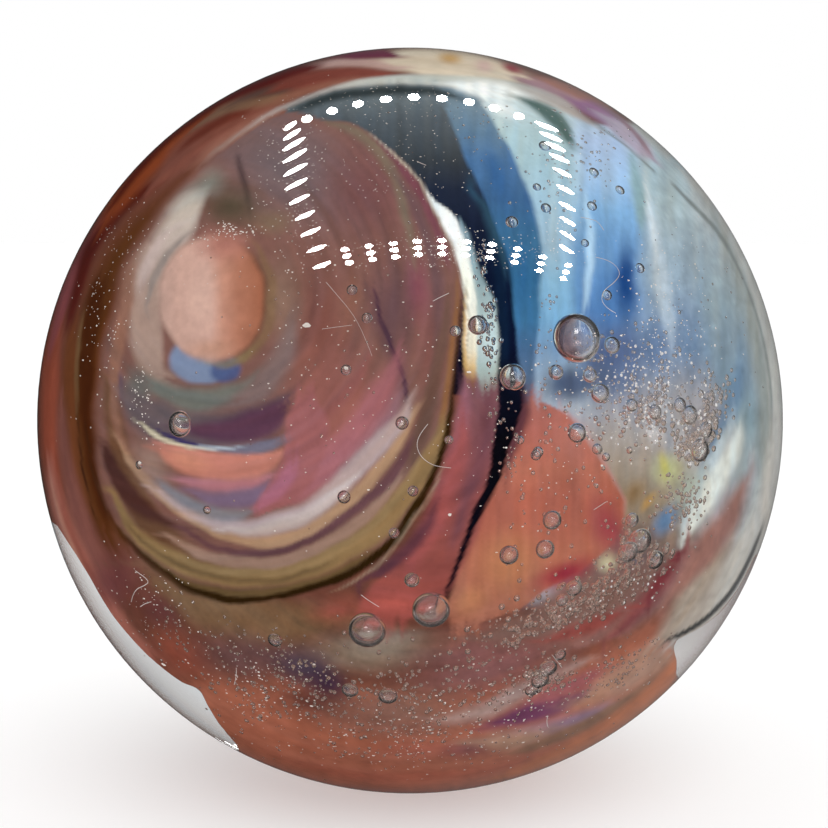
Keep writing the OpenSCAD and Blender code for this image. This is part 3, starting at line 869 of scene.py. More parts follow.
eye_strokes = [
    ("plum dome", "oval", "706062", 1.0, [(290, 168), (120, 78), -30]),
    ("rose dome", "oval", "704a4a", 1.0, [(368, 190), (80, 74), -40], 0.9),
    ("brown field", "oval", "7a4c44", 1.0, [(318, 326), (66, 84), -10], 0.9),
    ("olive field", "oval", "84685a", 1.0, [(282, 300), (32, 64), 0], 0.9),
    ("clay field", "oval", "8a5e4e", 1.0, [(352, 300), (24, 54), -14], 0.6),
    ("rosewood field", "oval", "945c54", 1.0, [(334, 400), (70, 78), -25], 0.9),
    ("plum field", "oval", "66494c", 1.0, [(394, 306), (36, 80), 10], 0.9),
    ("magenta field", "oval", "7c4456", 1.0, [(418, 288), (20, 56), 6], 0.7),
    ("rose field right", "oval", "80524e", 1.0, [(428, 345), (22, 76), 0], 0.7),
    ("olive arc", "eye", "766658", 9,
     [(330, 124, 2), (360, 136, 5), (380, 154, 5), (393, 172, 5), (402, 200, 5), (410, 235, 3),
      (414, 262, 1)]),
    ("wine arc", "eye", "744650", 6,
     [(378, 142, 2), (396, 158, 4), (412, 180, 4.5), (427, 207, 4.5), (438, 232, 4), (448, 262, 2)]),
    ("mauve arc", "eye", "664c50", 10,
     [(398, 178, 2), (420, 216, 6), (432, 250, 6), (438, 290, 6), (438, 330, 5), (432, 370, 3)], 0.8),
    ("umber arc", "eye", "644a40", 9,
     [(448, 300, 3), (440, 350, 6), (432, 390, 7), (424, 425, 8), (412, 460, 5)], 0.9),
    ("dark smoke", "down", "3e3032", 7, [(238, 158, 2), (242, 176, 3), (247, 193, 3), (250, 207, 2)], 0.8),
    ("vein shade", "eye", "5a4046", 16, [(366, 285, 3), (386, 335, 8), (398, 375, 8), (405, 405, 4)], 0.6),
    ("dark vein", "eye", "40283a", 4,
     [(374, 290, 1), (383, 320, 2), (391, 346, 2.6), (399, 368, 2.8), (405, 385, 2.6), (408, 402, 2),
      (411, 416, 1)], 0.9),
    ("gold edge", "eye", "8c6038", 6,
     [(457, 290, 1), (454, 330, 2.5), (450, 370, 3), (445, 405, 3), (438, 440, 2.5), (428, 470, 1)], 0.8),
    ("dark edge line", "eye", "35200f", 5,
     [(460, 310, 1), (458, 345, 2.2), (454, 385, 2.8), (449, 420, 3), (442, 448, 3)]),
    ("pale edge", "eye", "b0a494", 3,
     [(372, 137, 0.8), (400, 160, 1.5), (421, 182, 1.6), (433, 204, 1.6), (443, 225, 1.4), (453, 248, 1)]),
    ("rose swirl", "eye", "a0646a", 18,
     [(270, 496, 5), (300, 482, 18), (330, 460, 22), (356, 432, 20), (380, 398, 14), (394, 366, 5)], 0.9),
    ("pink swirl", "eye", "a4686f", 14,
     [(264, 498, 4), (290, 492, 10), (318, 476, 10), (344, 452, 6), (362, 428, 2)], 0.8),
    ("salmon swirl", "eye", "9c6258", 14,
     [(296, 452, 4), (325, 432, 9), (350, 404, 9), (362, 376, 3)], 0.8),
    ("wine wisp", "eye", "84504e", 10, [(306, 436, 2), (332, 410, 5), (352, 388, 5), (366, 360, 2)], 0.7),
    ("mauve swirl", "eye", "906a74", 14,
     [(330, 486, 3), (354, 462, 7), (376, 436, 8), (394, 408, 6), (402, 385, 2)], 0.7),
    ("umber ring", "eye", "6a4a36", 14,
     [(106, 380, 4), (112, 410, 10), (120, 455, 16), (140, 505, 18), (170, 542, 14), (205, 560, 5)]),
    ("plum ring", "eye", "4a2c28", 10,
     [(104, 446, 4), (113, 470, 9), (124, 490, 10), (140, 506, 9), (160, 518, 5), (178, 527, 2)]),
    ("khaki ring", "eye", "8c704c", 8,
     [(112, 492, 3), (142, 540, 8), (190, 567, 10), (254, 577, 10), (308, 568, 11), (361, 540, 12),
      (402, 500, 11), (430, 458, 8), (444, 420, 3)]),
    ("moss ring", "eye", "604c2c", 8,
     [(120, 530, 2), (142, 556, 4), (180, 581, 5), (230, 593, 5.5), (280, 591, 5.5), (330, 577, 5),
      (370, 554, 3)], 0.9),
    ("olive ring", "eye", "5e4c34", 5,
     [(128, 526, 1.5), (150, 548, 2.4), (190, 569, 2.8), (240, 580, 3), (290, 577, 2.6),
      (332, 562, 1.4)], 0.6),
    ("gold ring", "eye", "947a56", 5,
     [(180, 558, 2), (205, 567, 3), (254, 574, 3.5), (308, 565, 4), (356, 538, 4.5), (394, 500, 4),
      (420, 460, 2)], 0.8),
    ("clay ring", "eye", "9c7c6c", 6,
     [(165, 535, 2), (200, 553, 5), (254, 563, 6), (294, 557, 6), (335, 538, 6), (372, 510, 5),
      (400, 476, 3)]),
    ("wine ring", "eye", "664448", 5,
     [(180, 527, 2), (215, 546, 3), (254, 553, 3.5), (290, 547, 4), (325, 530, 4.5), (365, 500, 5),
      (390, 478, 5), (410, 446, 3)]),
    ("tan ring", "eye", "ac8a6e", 6,
     [(118, 437, 2), (133, 466, 4.5), (156, 490, 5), (183, 512, 5.5), (206, 525, 6), (239, 537, 6),
      (262, 542, 6), (295, 535, 6), (335, 511, 6), (376, 473, 5.5), (398, 445, 5), (412, 415, 3)]),
    ("pale ring", "eye", "b49e9c", 9,
     [(158, 490, 3), (190, 512, 6), (228, 524, 8), (262, 527, 9), (296, 517, 10), (330, 495, 10),
      (360, 463, 10), (385, 438, 9), (402, 420, 6), (410, 400, 2)]),
    ("white ring", "eye", "c4b4b0", 7,
     [(228, 528, 2), (265, 529, 5), (298, 519, 6), (328, 500, 5), (352, 478, 2)]),
    ("black line", "eye", "2a1a06", 4,
     [(82, 424, 1), (90, 454, 1.6), (97, 480, 2), (106, 512, 2.4), (131, 546, 3), (159, 571, 4),
      (193, 591, 4.5), (234, 601, 5), (276, 599, 5), (319, 587, 5), (352, 574, 5), (391, 541, 5),
      (416, 508, 5), (436, 470, 4.5), (446, 435, 3.5), (452, 405, 2)]),
    ("mauve tan ring", "eye", "a48a7e", 12,
     [(158, 240, 8), (148, 270, 16), (146, 300, 19), (146, 330, 19), (150, 352, 16), (160, 374, 8)]),
    ("brown ring", "eye", "8e6656", 10,
     [(136, 262, 3), (126, 300, 7), (120, 340, 8), (115, 380, 7), (116, 420, 6), (126, 450, 3)], 0.9),
    ("mauve side", "oval", "94786e", 1.0, [(152, 466), (28, 44), 30]),
    ("olive smoke", "oval", "54483a", 1.0, [(232, 206), (48, 34), -10]),
    ("olive haze", "oval", "7a6450", 1.0, [(272, 222), (32, 20), 0], 0.8),
    ("pale flow", "eye",
     [(165, "80827a"), (186, "98968e"), (206, "beb2a6"), (236, "bcaca2"), (264, "b09c92"),
      (300, "a68e82")], 20,
     [(226, 176, -14), (208, 188, 4), (196, 201, 15), (186, 214, 19), (175, 232, 18), (162, 256, 12),
      (151, 284, 6)]),
    ("pink flow", "eye", "c0aca6", 9, [(170, 230, 2), (156, 250, 5), (146, 270, 5), (139, 292, 2)], 0.8),
    ("grey flow", "eye", "8c807a", 6,
     [(188, 232, 1), (176, 246, 3), (161, 266, 4), (152, 284, 3.5), (147, 305, 1.5)], 0.9),
    ("green flow", "oval", "7a7c74", 1.0, [(212, 182), (24, 20), 30], 0.7),
    ("green grey ring", "eye", "6e706a", 14,
     [(140, 372, 3), (165, 392, 10), (195, 400, 12), (222, 396, 10), (242, 386, 5), (256, 372, 1)]),
    ("grey haze", "eye", "7a6866", 16,
     [(232, 404, 6), (256, 390, 12), (276, 368, 12), (288, 340, 8), (292, 316, 3)], 0.8),
    ("slate patch", "oval", "64625f", 0.8, [(138, 392), (19, 32), 8]),
    ("violet side", "oval", "5a4a5c", 1.0, [(122, 386), (5, 22), 6], 0.8),
    ("smoke patch", "oval", "5a5052", 1.0, [(162, 414), (24, 22), -30]),
    ("mauve smoke", "eye", "64585c", 14,
     [(128, 394, 8), (142, 413, 16), (166, 425, 19), (200, 430, 18), (240, 428, 16), (268, 418, 14),
      (280, 402, 6)], 0.9),
    ("plum crescent", "eye", "58384a", 13,
     [(182, 428, 3), (202, 431, 8), (232, 430, 13), (258, 424, 16), (276, 414, 14), (286, 402, 5)]),
    ("pink strip", "eye", "ac727a", 9, [(176, 478, 3), (210, 485, 7), (245, 485, 7), (272, 475, 3)]),
    ("violet strip", "eye", "7a647a", 10,
     [(190, 490, 3), (215, 499, 7), (245, 498, 9), (270, 487, 7), (284, 474, 2)]),
    ("grey strip", "eye", "7e7c84", 10,
     [(160, 482, 3), (182, 500, 6), (206, 511, 7), (232, 515, 6), (252, 510, 2)]),
    ("salmon", "eye", "bc7a6c", 9,
     [(160, 447, 5), (180, 458, 11), (212, 466, 14), (245, 466, 14), (268, 461, 9), (282, 453, 3)]),
    ("apricot salmon", "oval", "cc8a72", 1.0, [(188, 460), (38, 15), -14], 0.8),
    ("rose side", "down", "9a5f60", 6,
     [(306, 396, 10), (308, 421, 21), (307, 440, 22), (303, 457, 21), (292, 480, 22), (276, 500, 18),
      (262, 512, 8), (252, 521, -6)], 0.9),
    ("rose side pink", "down", "a8687c", 12,
     [(294, 462, 5), (286, 478, 10), (272, 496, 10), (258, 509, 4), (250, 517, -9)], 0.8),
    ("blue grey lip", "eye", "6c6878", 6, [(212, 449, 1), (238, 450, 4), (262, 448, 6), (280, 442, 4)]),
    ("indigo line", "eye", "32295a", 4, [(162, 432, 1), (176, 439, 2.6), (190, 444, 2.4), (204, 446, 1)]),
    ("cream line", "eye", "d0c4a8", 3,
     [(141, 424, 1), (156, 435, 2), (170, 442, 2), (189, 447, 1.8), (206, 449, 1)]),
    ("pale blue line", "eye", "a4b0bc", 3, [(196, 447, 1), (215, 448, 1.8), (237, 448, 1)], 0.9),
    ("blue crescent", "oval", "7a88a4", 0.25, [(201, 361), (36, 26), -5]),
    ("navy crescent", "oval", "46547e", 0.4, [(224, 369), (19, 17), 10], 0.9),
    ("moss lip", "eye", "8a8460", 6, [(210, 362, 2), (226, 363, 4), (240, 358, 4), (252, 348, 2)], 0.5),
    # The faint khaki ring along the right side of the pale disc is a painted shadow.
    ("ochre lip", "eye", "7e6440", 8,
     [(254, 246, 2), (268, 272, 4), (272, 300, 5), (268, 326, 5), (254, 348, 5), (236, 362, 3)], 0.5),
    ("disc line", "oval", "5a3c28", 0.12, [(214.5, 298), (57, 67), 0], 0.7),
]
eye = lay(np.tile(glass_colour("7a564e"), (len(x), 1)), eye_strokes)
disc_glass = [
    (158, "b49488"), (180, "c49e90"), (208, "caa294"), (222, "be8a76"), (238, "aa725c"), (262, "9a6048")]
disc = shade(disc_glass, x)
eye = blend(eye, disc, oval_mask(0.14, [(212, 298), (57, 67), 0]))
disc_strokes = [
    ("disc blush", "oval", "a87064", 1.0, [(224, 244), (40, 26), 0], 0.9),
    ("disc light", "oval", "caa698", 1.0, [(200, 300), (24, 52), -8], 0.7),
    ("disc foot", "oval", "b48670", 1.0, [(210, 350), (36, 16), 0], 0.7),
]
eye = lay(eye, disc_strokes)
paint = blend(ground, eye, eye_mask)
edge_strokes = [
    ("pale thread", "eye", "b4a48c", 4.5,
     [(344, 587, 0.8), (358, 580, 1.3), (391, 549, 1.5), (404, 531, 1.5), (428, 500, 1.4),
      (441, 470, 0.8)], 0.4),
]
paint = lay(paint, edge_strokes)

# Drawn glass is streaky along its flow: round the eye, down the sky and round the outline.
# Each streak lightens or darkens the glass, and warms or cools it.
eye_swing, eye_streak_px = 1.3, 11
rim_swing, rim_streak_px = 2.0, 12
sky_streak_px, sky_run_px = 9, 110


def streaks(seed):
    """Streaks along the flow of each part of the swirl, from about -1 to 1."""
    eye_x, eye_y = eye_swing * np.cos(eye_way) + seed, eye_swing * np.sin(eye_way)
    rim_x, rim_y = rim_swing * np.cos(rim_way) + seed, rim_swing * np.sin(rim_way)
    round_eye = grain(eye_x, eye_y, eye_reach / eye_streak_px, 5)
    round_rim = grain(rim_x, rim_y, rim_reach / rim_streak_px, 5)
    down_sky = grain(x / sky_streak_px + seed, y / sky_run_px, 0.0, 5)
    ground_streaks = round_rim + (down_sky - round_rim) * sky_mask
    return ground_streaks + (round_eye - ground_streaks) * eye_mask


# The pale disc in the eye is steady, without streaks.
disc_edge_px, streaks_full_px = 55, 110
streak_tone, streak_warmth, fibre_tone = 0.18, 0.07, 0.05
steadiness = ease(eye_reach, disc_edge_px, streaks_full_px)
tone = 1 + streak_tone * streaks(0.0) * steadiness
warmth = streak_warmth * streaks(40.0) * steadiness
fibres = flows["rim"][2] + (flows["down"][2] - flows["rim"][2]) * sky_mask
fibres = fibres + (flows["eye"][2] - fibres) * eye_mask
tone = tone + fibre_tone * fibres * steadiness
# The bottom and the right are the cloudiest.
cloud_px, disc_cloud_px, speck_px = 13, 10, 4
disc_tone = 0.10
cloudiness = np.maximum(ease(y, 560, 640), ease(x, 600, 680)) * (1 - 0.6 * eye_mask)
cloud_tone = 0.05 + 0.09 * cloudiness
speck_tone = 0.03 + 0.08 * cloudiness
mottle = 1 + cloud_tone * grain(x / cloud_px, y / cloud_px, 5.5, 5)
disc_clouds = grain(x / disc_cloud_px, y / disc_cloud_px, 9.5, 4)
mottle = mottle + (1 - steadiness) * disc_tone * disc_clouds
mottle = mottle + speck_tone * grain(x / speck_px, y / speck_px, 2.5, 3)
paint = paint * (tone * mottle)[:, None] * np.stack([1 + warmth, np.ones(len(x)), 1 - warmth], 1)
# The far side isn't in the photograph and is plain: one twist of the same browns with a little blue.
far_glass = [(-0.7, "42302e"), (-0.3, "6c443a"), (0.0, "8a5a4c"), (0.25, "a4867a"), (0.5, "8894a0")]
far_twist = math.radians(150)
far_scale = 1.4
far_fade = 0.45
short_weight, short_fade = 3, 0.08
darkest, palest = 0.002, 0.95
far = far_scale * (math.pi - bearing)
far_turn = turn + behind * far_twist
far_twists = grain(far * np.cos(far_turn) + 11, far * np.sin(far_turn), 4.5, 5)
far_side = shade(far_glass, far_twists)
fall_short = (1 - seen) * ease(behind, 0, short_fade)
paint = blend(paint, far_side, ease(behind + short_weight * fall_short, 0.0, far_fade))
paint = np.clip(paint, darkest, palest)

swirl_colours = colour_swirl.data.color_attributes.new("glass_colours", "FLOAT_COLOR", "POINT")
solid_paint = np.concatenate([paint, np.ones((len(x), 1))], 1)
swirl_colours.data.foreach_set("color", solid_paint.astype(np.float32).ravel())
swirl = bpy.data.materials.new("swirl_glass")
swirl.use_nodes = True
swirl_nodes = swirl.node_tree.nodes
swirl_links = swirl.node_tree.links
swirl_shader = swirl_nodes["Principled BSDF"]
swirl_shader.inputs["Roughness"].default_value = 0.6
swirl_shader.inputs["Specular IOR Level"].default_value = 0.0
colours = swirl_nodes.new("ShaderNodeVertexColor")
colours.layer_name = "glass_colours"
where = swirl_nodes.new("ShaderNodeTexCoord")
fine_grain = swirl_nodes.new("ShaderNodeTexNoise")
fine_grain.inputs["Scale"].default_value = 2600.0
fine_grain.inputs["Detail"].default_value = 3.0
fine_tone = swirl_nodes.new("ShaderNodeMapRange")
fine_tone.inputs["To Min"].default_value = 0.9
fine_tone.inputs["To Max"].default_value = 1.1
speckled = swirl_nodes.new("ShaderNodeMix")
speckled.data_type = "RGBA"
speckled.blend_type = "MULTIPLY"
speckled.inputs["Factor"].default_value = 1.0
swirl_links.new(where.outputs["Object"], fine_grain.inputs["Vector"])
swirl_links.new(fine_grain.outputs[0], fine_tone.inputs["Value"])
swirl_links.new(colours.outputs["Color"], speckled.inputs[6])
swirl_links.new(fine_tone.outputs["Result"], speckled.inputs[7])
swirl_links.new(speckled.outputs[2], swirl_shader.inputs["Base Color"])
colour_swirl.data.materials.clear()
colour_swirl.data.materials.append(swirl)
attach(colour_swirl, "root")
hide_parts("colour_swirl")


# Dust
# Fine pale specks that have settled on the glass, and a few larger flecks.
# Each is a small crumpled flake, held just under the skin of the ball so that it stays within its size.
dust_clouds_px = [
    ((228, 232), (34, 9), 0, 90, (0.5, 1.3)),
    ((140, 395), (16, 40), 10, 70, (0.5, 1.1)),
    ((105, 310), (26, 90), -8, 130, (0.5, 1.4)),
    ((120, 230), (40, 50), 40, 90, (0.5, 1.0)),
    ((285, 160), (50, 70), 0, 150, (0.4, 0.9)),
    ((400, 165), (60, 60), 0, 160, (0.4, 0.9)),
    ((470, 250), (60, 24), 0, 110, (0.4, 0.9)),
    ((330, 350), (110, 120), 0, 130, (0.5, 1.1)),
    ((660, 310), (40, 70), 0, 170, (0.5, 1.2)),
    ((620, 400), (70, 60), 0, 130, (0.5, 1.2)),
    ((150, 600), (40, 46), 30, 90, (0.5, 1.2)),
    ((260, 690), (70, 44), -10, 200, (0.5, 1.3)),
    ((400, 740), (120, 34), 0, 260, (0.5, 1.3)),
    ((540, 690), (90, 50), 20, 190, (0.5, 1.2)),
    ((480, 460), (200, 160), 0, 200, (0.4, 1.0)),
    ((414, 103), (120, 20), 0, 130, (0.35, 0.8)),
    ((298, 190), (18, 84), -6, 120, (0.35, 0.8)),
    ((560, 180), (18, 76), 6, 110, (0.35, 0.8)),
    ((455, 252), (120, 16), 0, 300, (0.3, 0.7)),
]
dust_skin = 0.9994
dust_outermost = 0.97
start_clean()
bpy.ops.mesh.primitive_ico_sphere_add(subdivisions=1, radius=1.0)
flake_points, flake_faces = take_shape()
flake_vertices = []
flake_polygons = []


def add_flake(px, py, size):
    """A crumpled flake lying in the skin of the ball, where it shows at that pixel."""
    outward = point_seen_at(px, py, 1.0).normalized()
    lie = outward.to_track_quat("Z", "Y").to_matrix()
    crumple = np.array([[draw.uniform(0.6, 1.2)] for _ in flake_points])
    stretch = np.array([draw.uniform(0.7, 1.5), draw.uniform(0.6, 1.0), 0.4]) * size
    shape = (flake_points * crumple * stretch) @ np.array(lie).T
    shape = shape + np.array(outward) * (ball_r * dust_skin - 0.5 * size)
    first = len(flake_vertices)
    flake_vertices.extend(shape)
    flake_polygons.extend(tuple(first + corner for corner in face) for face in flake_faces)


for cloud in dust_clouds_px:
    for px, py, size in scatter(cloud):
        if math.hypot(px - ball_px[0], py - ball_px[1]) < dust_outermost * ball_r_px:
            add_flake(px, py, size)
large_flecks_px = [
    (306, 325, 3.6), (346, 368, 2.6), (469, 372, 2.0), (139, 463, 2.2), (163, 665, 3.0), (450, 515, 1.8)]
for px, py, size in large_flecks_px:
    add_flake(px, py, size * pixel)
dust_specks = piece_of("dust_specks", flake_vertices, flake_polygons)


def matt_material(name, darker, paler, roughness):
    """A dull surface that varies between two colours from place to place."""
    matt = bpy.data.materials.new(name)
    matt.use_nodes = True
    nodes, links = matt.node_tree.nodes, matt.node_tree.links
    spot = nodes.new("ShaderNodeTexCoord")
    patches = nodes.new("ShaderNodeTexNoise")
    patches.inputs["Scale"].default_value = 6 / ball_r
    ramp = nodes.new("ShaderNodeValToRGB")
    ramp.color_ramp.elements[0].position = 0.35
    ramp.color_ramp.elements[1].position = 0.65
    ramp.color_ramp.elements[0].color = (*darker, 1.0)
    ramp.color_ramp.elements[1].color = (*paler, 1.0)
    shader = nodes["Principled BSDF"]
    links.new(spot.outputs["Object"], patches.inputs["Vector"])
    links.new(patches.outputs["Fac"], ramp.inputs["Fac"])
    links.new(ramp.outputs["Color"], shader.inputs["Base Color"])
    shader.inputs["Roughness"].default_value = roughness
    shader.inputs["Specular IOR Level"].default_value = 0.0
    return matt


dust_specks.data.materials.append(matt_material("dust", (0.54, 0.47, 0.42), (0.78, 0.72, 0.67), 0.9))
dust_specks.visible_shadow = False
dust_specks.visible_diffuse = False
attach(dust_specks, "root")


# Lint
# Thin curled fibres of cloth that cling to the glass. Each is a fine thread along places on the skin,
# given as its radius in pixels and its places.
lint_px = [
    (0.28, [(596, 257), (606, 259), (616, 265), (621, 274), (614, 283), (604, 290), (601, 300), (608, 309),
            (616, 313)]),
    (0.26, [(428, 424), (421, 432), (416, 444), (420, 456), (430, 464), (440, 467), (451, 468)]),
    (0.38, [(135, 571), (143, 576), (149, 582), (144, 586), (136, 589), (132, 597), (131, 602)]),
    (0.34, [(140, 607), (145, 603), (151, 602)]),
    (0.34, [(417, 161), (421, 163), (426, 165)]),
    (0.32, [(433, 301), (440, 297), (449, 293)]),
    (0.15, [(326, 282), (338, 296), (349, 309), (357, 321), (366, 340), (372, 356)]),
    (0.2, [(322, 329), (336, 327), (352, 325)]),
    (0.3, [(581, 217), (592, 219), (599, 222), (604, 230)]),
    (0.3, [(361, 595), (370, 602), (379, 607)]),
    (0.34, [(548, 716), (546, 722), (548, 727)]),
    (0.3, [(234, 685), (237, 675), (236, 668)]),
    (0.3, [(552, 655), (558, 662), (562, 668)]),
    (0.3, [(594, 510), (600, 506), (606, 502)]),
]
threads = []
for lint_r_px, route in lint_px:
    lint_r = lint_r_px * pixel
    start_clean()
    bpy.ops.curve.primitive_nurbs_path_add(radius=ball_r)
    thread = bpy.context.object
    thread.data.splines.clear()
    spline = thread.data.splines.new("NURBS")
    spline.points.add(len(route) - 1)
    for point, (px, py) in zip(spline.points, route):
        point.co = (*(point_seen_at(px, py, 1.0) * (dust_skin - lint_r / ball_r)), 1.0)
    spline.order_u = 3
    spline.use_endpoint_u = True
    spline.resolution_u = 6
    thread.data.bevel_depth = lint_r
    thread.data.bevel_resolution = 1
    thread.data.use_fill_caps = True
    bpy.ops.object.convert(target="MESH")
    threads.append(settle(bpy.context.object))
lint_fibres = join(threads, "lint_fibres")
bpy.ops.object.shade_smooth()
lint_fibres.data.materials.clear()
lint_fibres.data.materials.append(matt_material("lint", (0.44, 0.38, 0.36), (0.58, 0.53, 0.51), 0.8))
lint_fibres.visible_shadow = False
lint_fibres.visible_diffuse = False
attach(lint_fibres, "root")


# Floor
# A plain pale table top that carries the ball and takes its shadow.
# It is only as wide as that needs, so that the white room shows past it.
floor_r = 0.16
start_clean()
bpy.ops.mesh.primitive_circle_add(vertices=96, radius=floor_r, fill_type="NGON", location=(0, 0, -ball_r))
floor = settle(bpy.context.object)
floor.name = "floor"
table = bpy.data.materials.new("table")
table.use_nodes = True
table_shader = table.node_tree.nodes["Principled BSDF"]
table_shader.inputs["Base Color"].default_value = (0.95, 0.95, 0.95, 1.0)
table_shader.inputs["Roughness"].default_value = 0.9
table_shader.inputs["Specular IOR Level"].default_value = 0.0
floor.data.materials.append(table)
floor.visible_glossy = False


# Light
# A white room that is darker on the viewer's side, with a soft lamp overhead.
# A frame of small lamps above the ball leaves its rows of dots on the glass.
world = bpy.data.worlds.new("room")
bpy.context.scene.world = world
world.use_nodes = True
room_nodes = world.node_tree.nodes
room_links = world.node_tree.links
room = room_nodes["Background"]
ray = room_nodes.new("ShaderNodeLightPath")
way = room_nodes.new("ShaderNodeTexCoord")
way_parts = room_nodes.new("ShaderNodeSeparateXYZ")
room_links.new(way.outputs["Generated"], way_parts.inputs[0])


def feed(socket, value):
    """Sets a socket to a level, or links it to what works the level out."""
    if isinstance(value, float):
        socket.default_value = value
    else:
        room_links.new(value, socket)


def grade(part, from_low, from_high, low, high):
    """A level that changes smoothly with one part of the way that a ray looks."""
    fade = room_nodes.new("ShaderNodeMapRange")
    fade.interpolation_type = "SMOOTHSTEP"
    room_links.new(way_parts.outputs[part], fade.inputs["Value"])
    fade.inputs["From Min"].default_value = from_low
    fade.inputs["From Max"].default_value = from_high
    feed(fade.inputs["To Min"], low)
    feed(fade.inputs["To Max"], high)
    return fade.outputs["Result"]


# The glass mirrors a room that is dark in front and on the left, and brighter on the right.
mirrored = grade("Y", -0.5, 0.9, 0.02, grade("X", -0.3, 0.6, 0.012, 0.26))
# Through the glass and its bubbles the left is dark too, and the room is bright above.
through_glass = grade("Z", 0.8, 0.97, grade("Z", 0.2, 0.55, grade("X", -0.6, 0.5, 0.25, 1.0), 0.78), 3.0)


def choose(rays, otherwise, level):
    """One level for a kind of ray, and another for the rest."""
    pick = room_nodes.new("ShaderNodeMix")
    room_links.new(ray.outputs[rays], pick.inputs["Factor"])
    feed(pick.inputs[2], otherwise)
    feed(pick.inputs[3], level)
    return pick.outputs[0]


ambient = 0.92
white = 1.0
level = choose("Is Glossy Ray", ambient, mirrored)
level = choose("Is Transmission Ray", level, through_glass)
level = choose("Is Camera Ray", level, white)
room_links.new(level, room.inputs["Strength"])
room.inputs["Color"].default_value = (1.0, 1.0, 1.0, 1.0)

key = bpy.data.lights.new("key", "AREA")
key.shape = "DISK"
key.size = 0.35
key.energy = 0.62
key_lamp = bpy.data.objects.new("key", key)
key_lamp.location = (0.05, -0.15, 0.45)
key_lamp.rotation_euler = (-key_lamp.location).to_track_quat("-Z", "Y").to_euler()
key_lamp.visible_glossy = False
key_lamp.visible_transmission = False
bpy.context.scene.collection.objects.link(key_lamp)

lamp_height = 0.220


def mirrored_spot(px, py):
    """The place at the lamps' height that the ball mirrors at a pixel."""
    spot = point_seen_at(px, py, 1.0)
    eye = Vector(to_viewer) * view_reach * ball_r
    sight = (spot - eye).normalized()
    bounce = sight.reflect(spot.normalized())
    return spot + bounce * (lamp_height - spot.z) / bounce.z


# Each side of the frame as it shows on the glass: the pixels x and y along it, the count of lamps,
# half the length along it, half the width, the tilt of a lamp at either end, the lamps in a stack,
# and how far each leans past the one over it at either end.
frame_sides = [
    ([(0, 290), (0.25, 294.5), (0.5, 296), (0.75, 308), (1, 322.5)],
     [(0, 126), (0.2, 144), (0.5, 184), (1, 265)],
     11, [(0, 8), (0.3, 14.5), (0.6, 12), (1, 10.5)], 2.2, (34, 20), 1, (0, 0)),
    ([(0, 307), (0.25, 358), (0.5, 414), (0.75, 469), (1, 519)],
     [(0, 119), (0.25, 104), (0.5, 97), (0.75, 102), (1, 116)],
     9, [(0, 5.6), (0.5, 6), (1, 5.6)], 3.6, (14, -14), 1, (0, 0)),
    ([(0, 546.5), (0.35, 560), (0.75, 568), (1, 566.5)], [(0, 126.5), (0.35, 160), (0.7, 211), (1, 249)],
     10, [(0, 13), (0.5, 10.5), (1, 9)], 2.2, (-22, -32), 1, (0, 0)),
    ([(0, 347), (0.5, 454), (1, 566)], [(0, 256), (0.2, 250.5), (0.42, 247), (0.7, 252), (1, 272)],
     10, [(0, 4.6), (0.5, 4.8), (1, 4.2)], 2.5, (6, -10), 3, (2.2, -2.6)),
]
lamp_corners = 12
stack_gap_px = 6.6
lamp_vertices = []
lamp_polygons = []
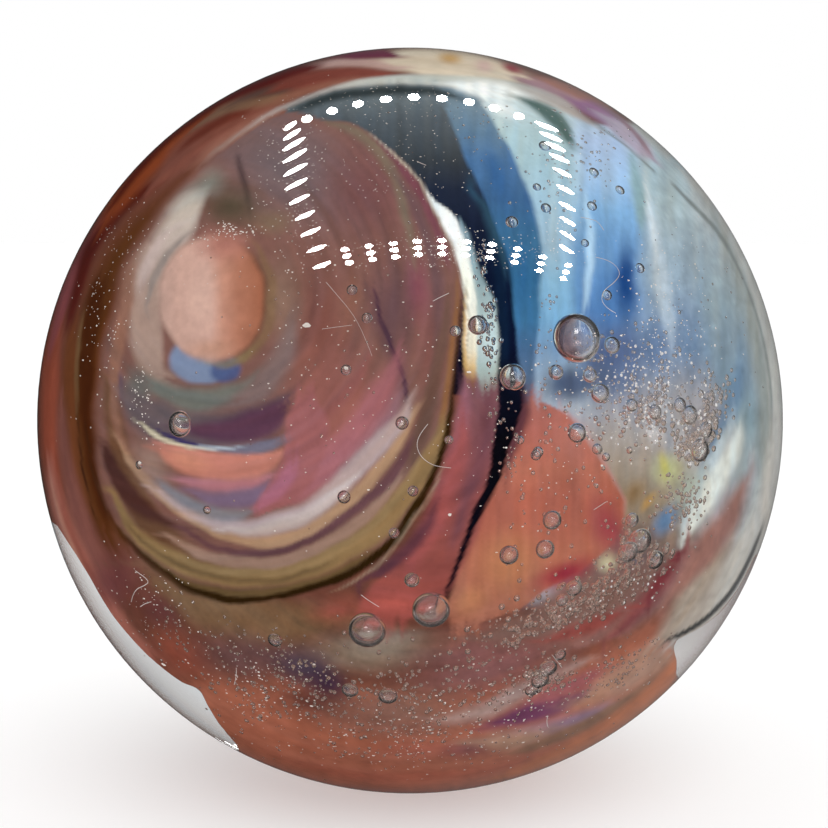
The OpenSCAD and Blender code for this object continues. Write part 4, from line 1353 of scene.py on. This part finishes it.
for side_x, side_y, count, lengths, half_width, tilts, stack, leans in frame_sides:
    shares = np.linspace(0, 1, count)
    lamps = zip(shares, curve(shares, side_x), curve(shares, side_y), curve(shares, lengths))
    for share, lamp_x, lamp_y, half_length in lamps:
        tilt = tilts[0] + (tilts[1] - tilts[0]) * share
        for layer in range(stack):
            place_in_stack = layer - (stack - 1) / 2
            centre_x = lamp_x + place_in_stack * (leans[0] + (leans[1] - leans[0]) * share)
            centre_y = lamp_y + place_in_stack * stack_gap_px
            first = len(lamp_vertices)
            for corner in range(lamp_corners):
                way_round = 2 * math.pi * corner / lamp_corners
                along, across = half_length * math.cos(way_round), half_width * math.sin(way_round)
                c, s = math.cos(math.radians(tilt)), math.sin(math.radians(tilt))
                corner_x = centre_x + along * c - across * s
                corner_y = centre_y - along * s - across * c
                lamp_vertices.append(mirrored_spot(corner_x, corner_y))
            lamp_polygons.append(tuple(range(first, first + lamp_corners)))
lamp_frame = piece_of("lamp_frame", lamp_vertices, lamp_polygons)
lamp_glow = bpy.data.materials.new("lamp_glow")
lamp_glow.use_nodes = True
lamp_glow.node_tree.nodes.clear()
glow = lamp_glow.node_tree.nodes.new("ShaderNodeEmission")
glow.inputs["Strength"].default_value = 70.0
glow_output = lamp_glow.node_tree.nodes.new("ShaderNodeOutputMaterial")
lamp_glow.node_tree.links.new(glow.outputs[0], glow_output.inputs[0])
lamp_frame.data.materials.append(lamp_glow)
lamp_frame.visible_camera = False
lamp_frame.visible_diffuse = False
lamp_frame.visible_shadow = False

# A lamp in front leaves its glint in the bubbles alone, because the ball's skin doesn't mirror it.
start_clean()
bpy.ops.mesh.primitive_circle_add(vertices=24, radius=0.09, fill_type="NGON")
glint_lamp = bpy.context.object
glint_lamp.name = "glint_lamp"
glint_lamp.location = (-0.05, -0.19, 0.24)
glint_lamp.rotation_euler = (-glint_lamp.location).to_track_quat("Z", "Y").to_euler()
settle(glint_lamp)
glint_lamp.data.materials.append(lamp_glow)
glint_lamp.visible_camera = False
glint_lamp.visible_diffuse = False
glint_lamp.visible_glossy = False
glint_lamp.visible_shadow = False


# Camera
# It stands where the photograph was taken from, a little above the ball's equator.
# The ball sits a little off the picture's middle, which the shift makes up for.
camera = bpy.data.cameras.new("camera")
camera.lens = lens_mm
camera.sensor_width = sensor_mm
camera.clip_start = 0.005
camera.shift_x = (picture_px / 2 - ball_px[0]) / picture_px
camera.shift_y = (ball_px[1] - picture_px / 2) / picture_px
viewer = bpy.data.objects.new("camera", camera)
viewer.location = Vector(to_viewer) * view_reach * ball_r
viewer.rotation_euler = Vector(-to_viewer).to_track_quat("-Z", "Y").to_euler()
bpy.context.scene.collection.objects.link(viewer)
bpy.context.scene.camera = viewer
bpy.context.scene.view_settings.view_transform = "Standard"
